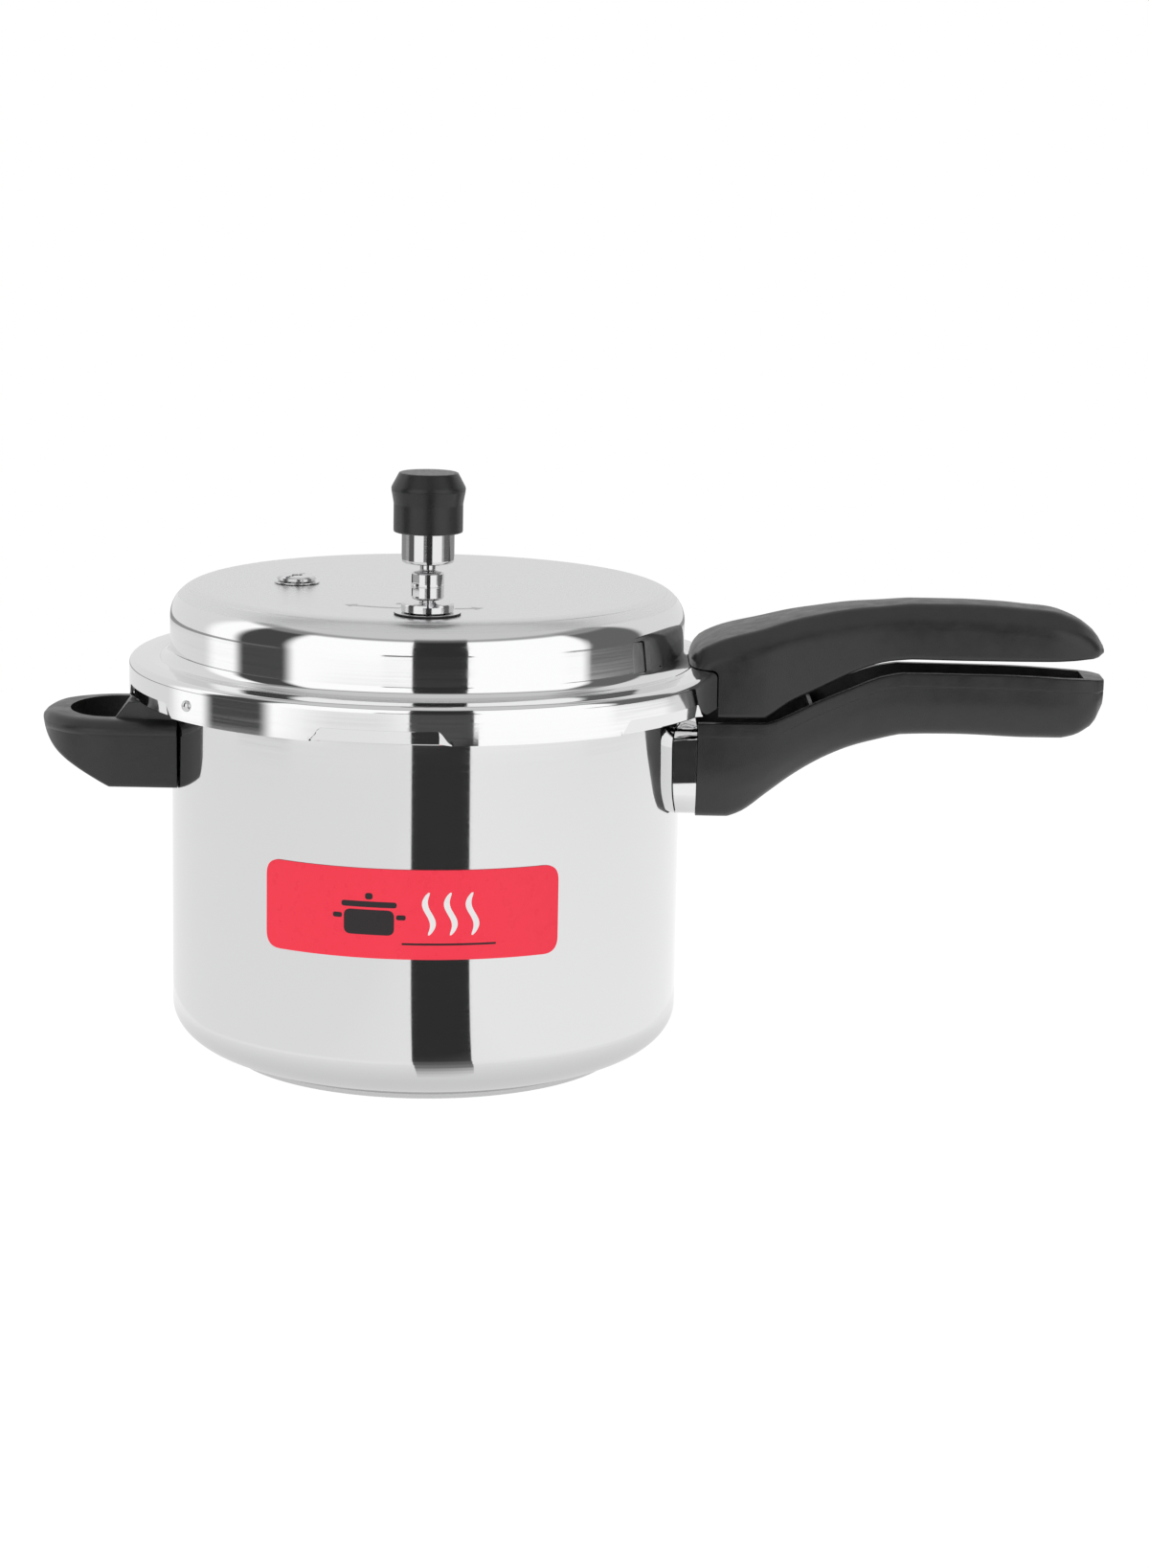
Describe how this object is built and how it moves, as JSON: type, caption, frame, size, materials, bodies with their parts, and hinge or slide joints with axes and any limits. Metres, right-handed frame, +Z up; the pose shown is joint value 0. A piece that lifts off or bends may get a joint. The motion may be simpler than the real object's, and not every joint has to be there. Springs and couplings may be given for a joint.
{
  "type": "stovetop pressure cooker",
  "caption": "Polished aluminium stovetop pressure cooker with an outer locking lid, steam vent with lift-off weight, fusible safety valve, long twin handles and a helper handle.",
  "frame": {"origin": "on the pot's axis at the underside of the base plate", "axes": "+Z up along the pot's axis, +X towards the long handles, -Y towards the labelled front"},
  "size_m": [0.4367, 0.2446, 0.2512],
  "materials": {
    "polished_aluminium": "mirror polished",
    "base_metal": "satin, fine turned rings",
    "bright_steel": "turned and polished",
    "bracket_steel": "plain",
    "bakelite": "fine moulded grain",
    "knob_black": "satin",
    "rubber": "matte",
    "fusible_alloy": "cast grey",
    "label_film": null
  },
  "bodies": {
    "pot": {"pot_body": "polished_aluminium", "base_plate": "base_metal", "label_sticker": "label_film", "pot_handle_bracket": "bracket_steel", "pot_handle_ferrule": "bright_steel", "pot_handle": "bakelite", "pot_handle_screw": "bracket_steel", "helper_bracket": "bracket_steel", "helper_handle": "bakelite", "helper_screw": "bracket_steel"},
    "gasket": {"sealing_gasket": "rubber"},
    "lid": {"lid_shell": "polished_aluminium", "lid_handle_bracket": "bracket_steel", "lid_handle": "bakelite", "lid_handle_screw_front": "bracket_steel", "lid_handle_screw_rear": "bracket_steel", "skirt_rivet": "bracket_steel", "vent_pipe": "bright_steel", "vent_washer": "rubber", "vent_inner_washer": "bracket_steel", "vent_nut": "bracket_steel", "safety_valve_body": "bracket_steel", "safety_valve_washer": "bracket_steel", "safety_valve_nut": "bracket_steel", "fusible_plug": "fusible_alloy"},
    "weight": {"weight_body": "bright_steel", "weight_knob": "knob_black", "weight_pin": "bright_steel", "weight_clip": "bracket_steel"}
  },
  "joints": [
    {"name": "lid_lift", "type": "slide", "parent": "pot", "child": "gasket", "axis": [0, 0, 1], "range_m": [0, 0.12]},
    {"name": "lid_turn", "type": "hinge", "parent": "gasket", "child": "lid", "pos_m": [0, 0, 0.16], "axis": [0, 0, 1], "range_deg": [0, 30]},
    {"name": "weight_lift", "type": "slide", "parent": "lid", "child": "weight", "axis": [0, 0, 1], "range_m": [0, 0.03]}
  ]
}
